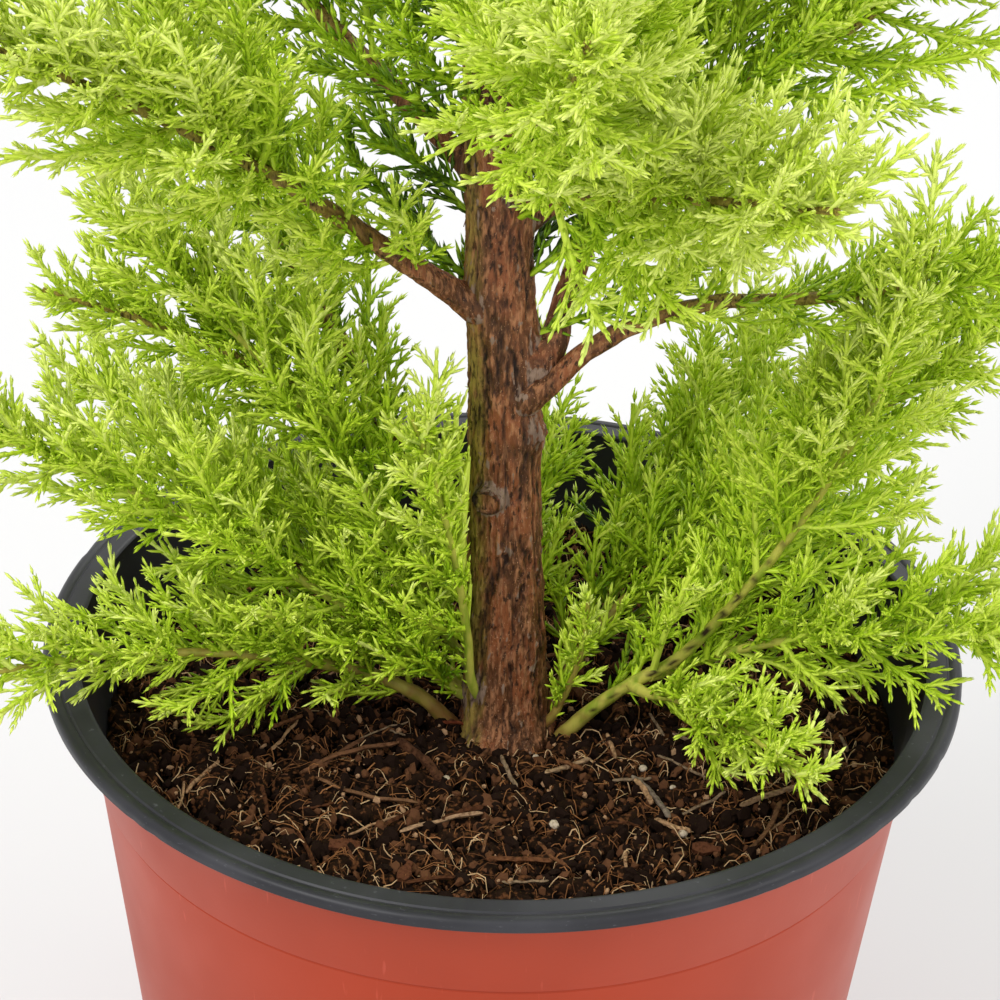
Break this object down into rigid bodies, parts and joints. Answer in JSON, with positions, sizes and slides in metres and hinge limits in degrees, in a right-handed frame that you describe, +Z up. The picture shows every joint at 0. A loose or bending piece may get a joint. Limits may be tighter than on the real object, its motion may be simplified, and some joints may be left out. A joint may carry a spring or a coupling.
{
  "type": "potted lemon cypress",
  "caption": "A young lemon cypress with a narrow crown of lime-green feathery sprays, growing in a round red-brown plastic pot with a black rim and dark potting mix.",
  "frame": {"origin": "centre of the pot's flat underside", "axes": "+Z up along the pot's axis; -Y is the side the picture was taken from; +X is to the viewer's right"},
  "size_m": [0.2344, 0.2047, 0.6384],
  "materials": {
    "terracotta_plastic": "satin moulded plastic, red-brown, with fine scuffs",
    "black_plastic": "satin moulded plastic, black",
    "potting_mix": "moist dark peat with fibres, bark chips and a few white grains",
    "bark": "stringy reddish-brown bark, cracked and peeling in strips",
    "green_bark": "young green-brown bark with dark leaf scars",
    "foliage": "short soft needles, lime at the tips and deeper green inside"
  },
  "bodies": {
    "root": {"pot_body": "terracotta_plastic", "pot_rim": "black_plastic", "soil": "potting_mix", "trunk": "bark", "bough_left_front": "bark", "bough_right_rear": "bark", "bough_right": "bark", "bough_left_rear": "bark", "stem_low_left": "green_bark", "stem_low_right": "green_bark", "stem_low_rear": "green_bark", "bough_upper_01": "bark", "bough_upper_02": "bark", "bough_upper_03": "bark", "bough_upper_04": "bark", "bough_upper_05": "bark", "bough_upper_06": "bark", "bough_upper_07": "bark", "foliage_left_front": "foliage", "foliage_right_rear": "foliage", "foliage_right": "foliage", "foliage_left_rear": "foliage", "foliage_left_rear_side": "foliage", "foliage_front_right": "foliage", "foliage_low_left_rim": "foliage", "foliage_low_left_front": "foliage", "foliage_low_left": "foliage", "foliage_low_left_high": "foliage", "foliage_low_left_back": "foliage", "foliage_low_right": "foliage", "foliage_low_right_front": "foliage", "foliage_low_right_rim": "foliage", "foliage_low_right_back": "foliage", "foliage_low_rear_right": "foliage", "foliage_low_rear": "foliage", "foliage_sprig": "foliage", "foliage_upper_01": "foliage", "foliage_upper_02": "foliage", "foliage_upper_03": "foliage", "foliage_upper_04": "foliage", "foliage_upper_05": "foliage", "foliage_upper_06": "foliage", "foliage_upper_07": "foliage", "foliage_upper_08": "foliage", "foliage_upper_09": "foliage", "foliage_upper_10": "foliage", "foliage_upper_11": "foliage", "foliage_upper_12": "foliage", "foliage_upper_13": "foliage", "foliage_upper_14": "foliage", "foliage_upper_15": "foliage", "foliage_upper_16": "foliage", "foliage_upper_17": "foliage", "foliage_upper_18": "foliage", "foliage_upper_19": "foliage", "foliage_upper_20": "foliage", "foliage_leader": "foliage"}
  },
  "joints": []
}
